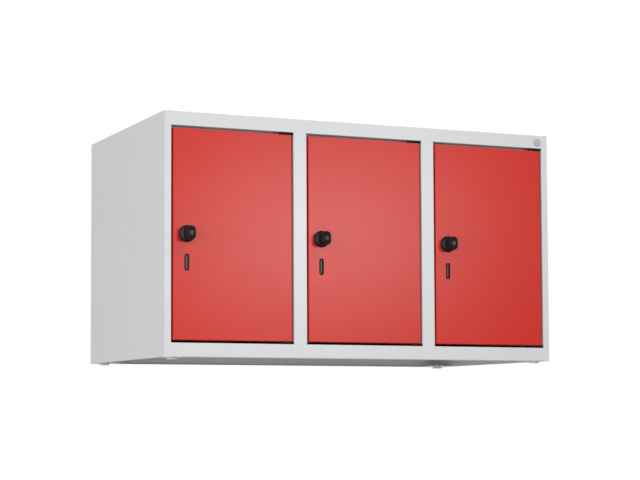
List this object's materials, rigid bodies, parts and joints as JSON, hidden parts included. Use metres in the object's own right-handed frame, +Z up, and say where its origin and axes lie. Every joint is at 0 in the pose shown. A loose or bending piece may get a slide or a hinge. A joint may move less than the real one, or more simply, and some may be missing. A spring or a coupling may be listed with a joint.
{
  "type": "locker top cabinet",
  "caption": "Low sheet steel cabinet with hinged doors side by side, turn knob locks and short feet, made to stand on top of a locker.",
  "frame": {"origin": "on the surface that the feet stand on, under the middle of the whole box, knobs included", "axes": "+X to the right seen from the front, +Y from the doors to the back, +Z up"},
  "size_m": [0.9, 0.5292, 0.504],
  "materials": {
    "grey_sheet": "light grey powder coat",
    "red_sheet": "red powder coat",
    "black_plastic": "moulded, fine grain",
    "grey_plastic": "moulded",
    "lock_metal": "black nickel plated, turned face",
    "zinc": "zinc plated",
    "rubber": "matt",
    "badge": "satin, blank"
  },
  "bodies": {
    "cabinet": {"left_side_panel": "grey_sheet", "right_side_panel": "grey_sheet", "roof_panel": "grey_sheet", "floor_panel": "grey_sheet", "left_post": "grey_sheet", "right_post": "grey_sheet", "left_partition": "grey_sheet", "right_partition": "grey_sheet", "back_panel": "grey_sheet", "corner_plates": "grey_sheet", "back_rivets": "zinc", "foot_screws": "zinc", "front_left_foot": "grey_plastic", "front_right_foot": "grey_plastic", "rear_left_foot": "grey_plastic", "rear_right_foot": "grey_plastic", "badge_plate": "badge", "door_buffers": "rubber", "left_hinge_bushes": "black_plastic", "middle_hinge_bushes": "black_plastic", "right_hinge_bushes": "black_plastic"},
    "left_door": {"left_door_panel": "red_sheet", "left_door_stiffener": "red_sheet", "left_hinge_pins": "zinc", "left_lock_housing": "black_plastic", "left_lock_nut": "zinc", "left_slot_bezel": "black_plastic", "left_slot_plate": "grey_plastic"},
    "left_knob": {"left_knob": "black_plastic", "left_spindle": "zinc", "left_cam": "zinc", "left_cam_screw": "zinc"},
    "left_key_plug": {"left_key_plug": "lock_metal"},
    "middle_door": {"middle_door_panel": "red_sheet", "middle_door_stiffener": "red_sheet", "middle_hinge_pins": "zinc", "middle_lock_housing": "black_plastic", "middle_lock_nut": "zinc", "middle_slot_bezel": "black_plastic", "middle_slot_plate": "grey_plastic"},
    "middle_knob": {"middle_knob": "black_plastic", "middle_spindle": "zinc", "middle_cam": "zinc", "middle_cam_screw": "zinc"},
    "middle_key_plug": {"middle_key_plug": "lock_metal"},
    "right_door": {"right_door_panel": "red_sheet", "right_door_stiffener": "red_sheet", "right_hinge_pins": "zinc", "right_lock_housing": "black_plastic", "right_lock_nut": "zinc", "right_slot_bezel": "black_plastic", "right_slot_plate": "grey_plastic"},
    "right_knob": {"right_knob": "black_plastic", "right_spindle": "zinc", "right_cam": "zinc", "right_cam_screw": "zinc"},
    "right_key_plug": {"right_key_plug": "lock_metal"}
  },
  "joints": [
    {"name": "left_door_hinge", "type": "hinge", "parent": "cabinet", "child": "left_door", "pos_m": [-0.1765, -0.2296, 0.254], "axis": [0, 0, 1], "range_deg": [0, 105]},
    {"name": "left_knob_turn", "type": "hinge", "parent": "left_door", "child": "left_knob", "pos_m": [-0.4015, -0.2356, 0.254], "axis": [0, -1, 0], "range_deg": [0, 90]},
    {"name": "left_key_turn", "type": "hinge", "parent": "left_knob", "child": "left_key_plug", "pos_m": [-0.4015, -0.2356, 0.254], "axis": [0, -1, 0], "range_deg": [0, 90]},
    {"name": "middle_door_hinge", "type": "hinge", "parent": "cabinet", "child": "middle_door", "pos_m": [0.1235, -0.2296, 0.254], "axis": [0, 0, 1], "range_deg": [0, 105]},
    {"name": "middle_knob_turn", "type": "hinge", "parent": "middle_door", "child": "middle_knob", "pos_m": [-0.1015, -0.2356, 0.254], "axis": [0, -1, 0], "range_deg": [0, 90]},
    {"name": "middle_key_turn", "type": "hinge", "parent": "middle_knob", "child": "middle_key_plug", "pos_m": [-0.1015, -0.2356, 0.254], "axis": [0, -1, 0], "range_deg": [0, 90]},
    {"name": "right_door_hinge", "type": "hinge", "parent": "cabinet", "child": "right_door", "pos_m": [0.4235, -0.2296, 0.254], "axis": [0, 0, 1], "range_deg": [0, 105]},
    {"name": "right_knob_turn", "type": "hinge", "parent": "right_door", "child": "right_knob", "pos_m": [0.1985, -0.2356, 0.254], "axis": [0, -1, 0], "range_deg": [0, 90]},
    {"name": "right_key_turn", "type": "hinge", "parent": "right_knob", "child": "right_key_plug", "pos_m": [0.1985, -0.2356, 0.254], "axis": [0, -1, 0], "range_deg": [0, 90]}
  ]
}
